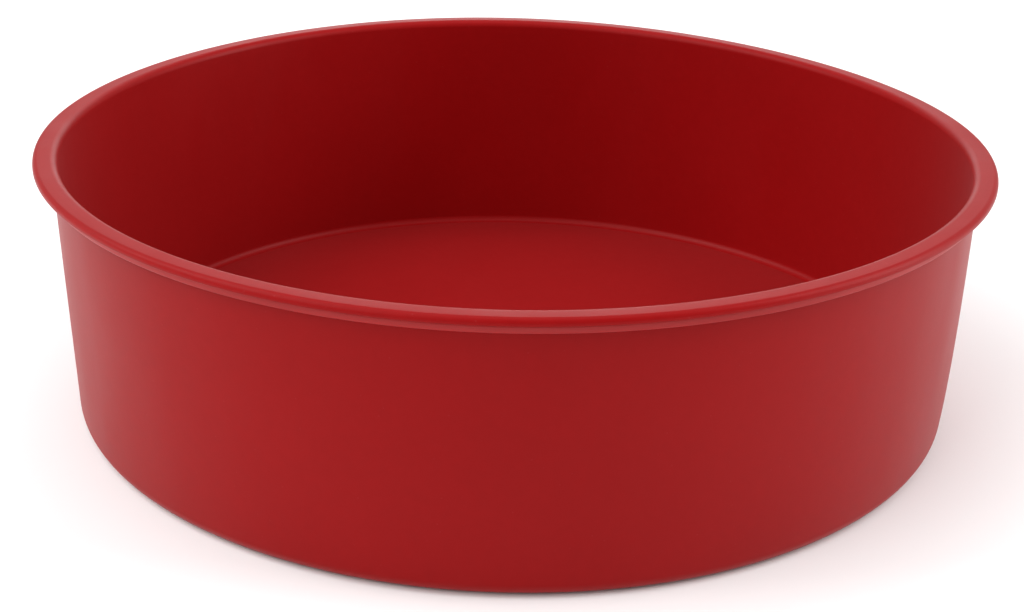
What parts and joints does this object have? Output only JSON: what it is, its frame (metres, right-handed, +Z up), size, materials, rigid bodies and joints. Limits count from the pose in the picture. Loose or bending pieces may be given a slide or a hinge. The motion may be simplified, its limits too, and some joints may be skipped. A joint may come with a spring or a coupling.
{
  "type": "round silicone baking pan",
  "caption": "Deep round baking pan of flexible silicone with a flat rim flange and a stiff ring that seats under the flange and pulls off down the tapered wall.",
  "frame": {"origin": "centre of the pan's flat underside, on the surface the pan stands on", "axes": "+Z up through the mouth along the axis the pan is turned about; the pan is round, so +X and +Y are any two square directions"},
  "size_m": [0.2314, 0.2314, 0.0654],
  "materials": {
    "silicone": "satin dark red moulded silicone",
    "ring_nylon": "satin dark red heat-resistant nylon"
  },
  "bodies": {
    "pan": {"pan_body": "silicone"},
    "ring": {"reinforcing_ring": "ring_nylon"}
  },
  "joints": [
    {"name": "ring_pull_off", "type": "slide", "parent": "pan", "child": "ring", "axis": [0, 0, -1], "range_m": [0, 0.061]}
  ]
}
